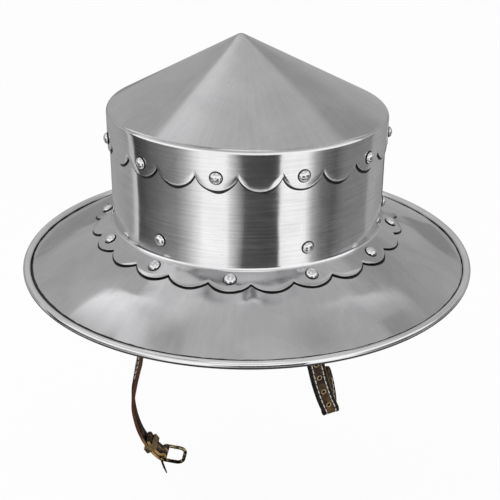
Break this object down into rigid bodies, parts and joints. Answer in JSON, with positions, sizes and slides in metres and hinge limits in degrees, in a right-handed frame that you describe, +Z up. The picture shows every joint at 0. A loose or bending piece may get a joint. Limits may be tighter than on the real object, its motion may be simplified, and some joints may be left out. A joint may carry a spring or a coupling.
{
  "type": "kettle hat",
  "caption": "Steel kettle hat: conical riveted crown on a straight band, wide sloping brim with a rolled edge, leather liner and a hanging buckled chin strap.",
  "frame": {"origin": "the seat of the head: the point on the hat's axis where the top of the head meets the gathered liner", "axes": "+Z up along the hat's axis, towards the tip of the crown; -Y to the front, where the wearer looks; +X to the wearer's left"},
  "size_m": [0.36, 0.36, 0.41],
  "materials": {
    "crown_steel": "satin ground steel",
    "band_steel": "polished steel with fine level scratches",
    "brim_steel": "hand-polished steel, slightly wavy",
    "wire_steel": "drawn wire",
    "rivet_steel": "polished rivet heads",
    "washer_steel": "plain steel",
    "liner_leather": "vegetable-tanned leather, flesh side in",
    "lace_cord": "waxed twisted cord",
    "strap_leather": "dark brown leather with white stitching",
    "buckle_metal": "aged brass"
  },
  "bodies": {
    "hat": {"crown_cap": "crown_steel", "skull_band": "band_steel", "brim": "brim_steel", "edge_wire": "wire_steel", "liner_band": "liner_leather", "liner_lace": "lace_cord", "liner_petal_01": "liner_leather", "liner_petal_02": "liner_leather", "liner_petal_03": "liner_leather", "liner_petal_04": "liner_leather", "liner_petal_05": "liner_leather", "liner_petal_06": "liner_leather", "crown_rivet_01": "rivet_steel", "crown_rivet_02": "rivet_steel", "crown_rivet_03": "rivet_steel", "crown_rivet_04": "rivet_steel", "crown_rivet_05": "rivet_steel", "crown_rivet_06": "rivet_steel", "crown_rivet_07": "rivet_steel", "crown_rivet_08": "rivet_steel", "crown_rivet_09": "rivet_steel", "crown_rivet_10": "rivet_steel", "crown_rivet_11": "rivet_steel", "brim_rivet_01": "rivet_steel", "brim_rivet_02": "rivet_steel", "brim_rivet_03": "rivet_steel", "brim_rivet_04": "rivet_steel", "brim_rivet_05": "rivet_steel", "brim_rivet_06": "rivet_steel", "brim_rivet_07": "rivet_steel", "brim_rivet_08": "rivet_steel", "brim_rivet_09": "rivet_steel", "brim_rivet_10": "rivet_steel", "brim_rivet_11": "rivet_steel", "brim_rivet_12": "rivet_steel", "liner_rivet_01": "rivet_steel", "liner_rivet_02": "rivet_steel", "liner_rivet_03": "rivet_steel", "liner_rivet_04": "rivet_steel", "liner_rivet_05": "rivet_steel", "liner_rivet_06": "rivet_steel", "liner_washer_01": "washer_steel", "liner_washer_02": "washer_steel", "liner_washer_03": "washer_steel", "liner_washer_04": "washer_steel", "liner_washer_05": "washer_steel", "liner_washer_06": "washer_steel", "tail_strap_washer": "washer_steel", "buckle_strap_washer": "washer_steel"},
    "tail_strap": {"tail_strap": "strap_leather"},
    "buckle_strap": {"buckle_strap": "strap_leather"},
    "buckle_frame": {"buckle_frame": "buckle_metal"},
    "buckle_prong": {"buckle_prong": "buckle_metal"},
    "strap_keeper": {"strap_keeper": "strap_leather"}
  },
  "joints": [
    {"name": "tail_strap_swing", "type": "hinge", "parent": "hat", "child": "tail_strap", "pos_m": [0.08646, -0.04992, -0.0879], "axis": [0.866, -0.5, 0], "range_deg": [-30, 30]},
    {"name": "buckle_strap_swing", "type": "hinge", "parent": "hat", "child": "buckle_strap", "pos_m": [-0.08646, -0.04992, -0.0879], "axis": [-0.866, -0.5, 0], "range_deg": [-30, 30]},
    {"name": "buckle_frame_turn", "type": "hinge", "parent": "buckle_strap", "child": "buckle_frame", "pos_m": [-0.06606, -0.03814, -0.34444], "axis": [0.5, -0.866, 0], "range_deg": [-35, 60]},
    {"name": "buckle_prong_turn", "type": "hinge", "parent": "buckle_frame", "child": "buckle_prong", "pos_m": [-0.06606, -0.03814, -0.34444], "axis": [0.5, -0.866, 0], "range_deg": [-15, 64]},
    {"name": "strap_keeper_slide", "type": "slide", "parent": "buckle_strap", "child": "strap_keeper", "axis": [0.4827, 0.2787, -0.8303], "range_m": [-0.003, 0.002]}
  ]
}
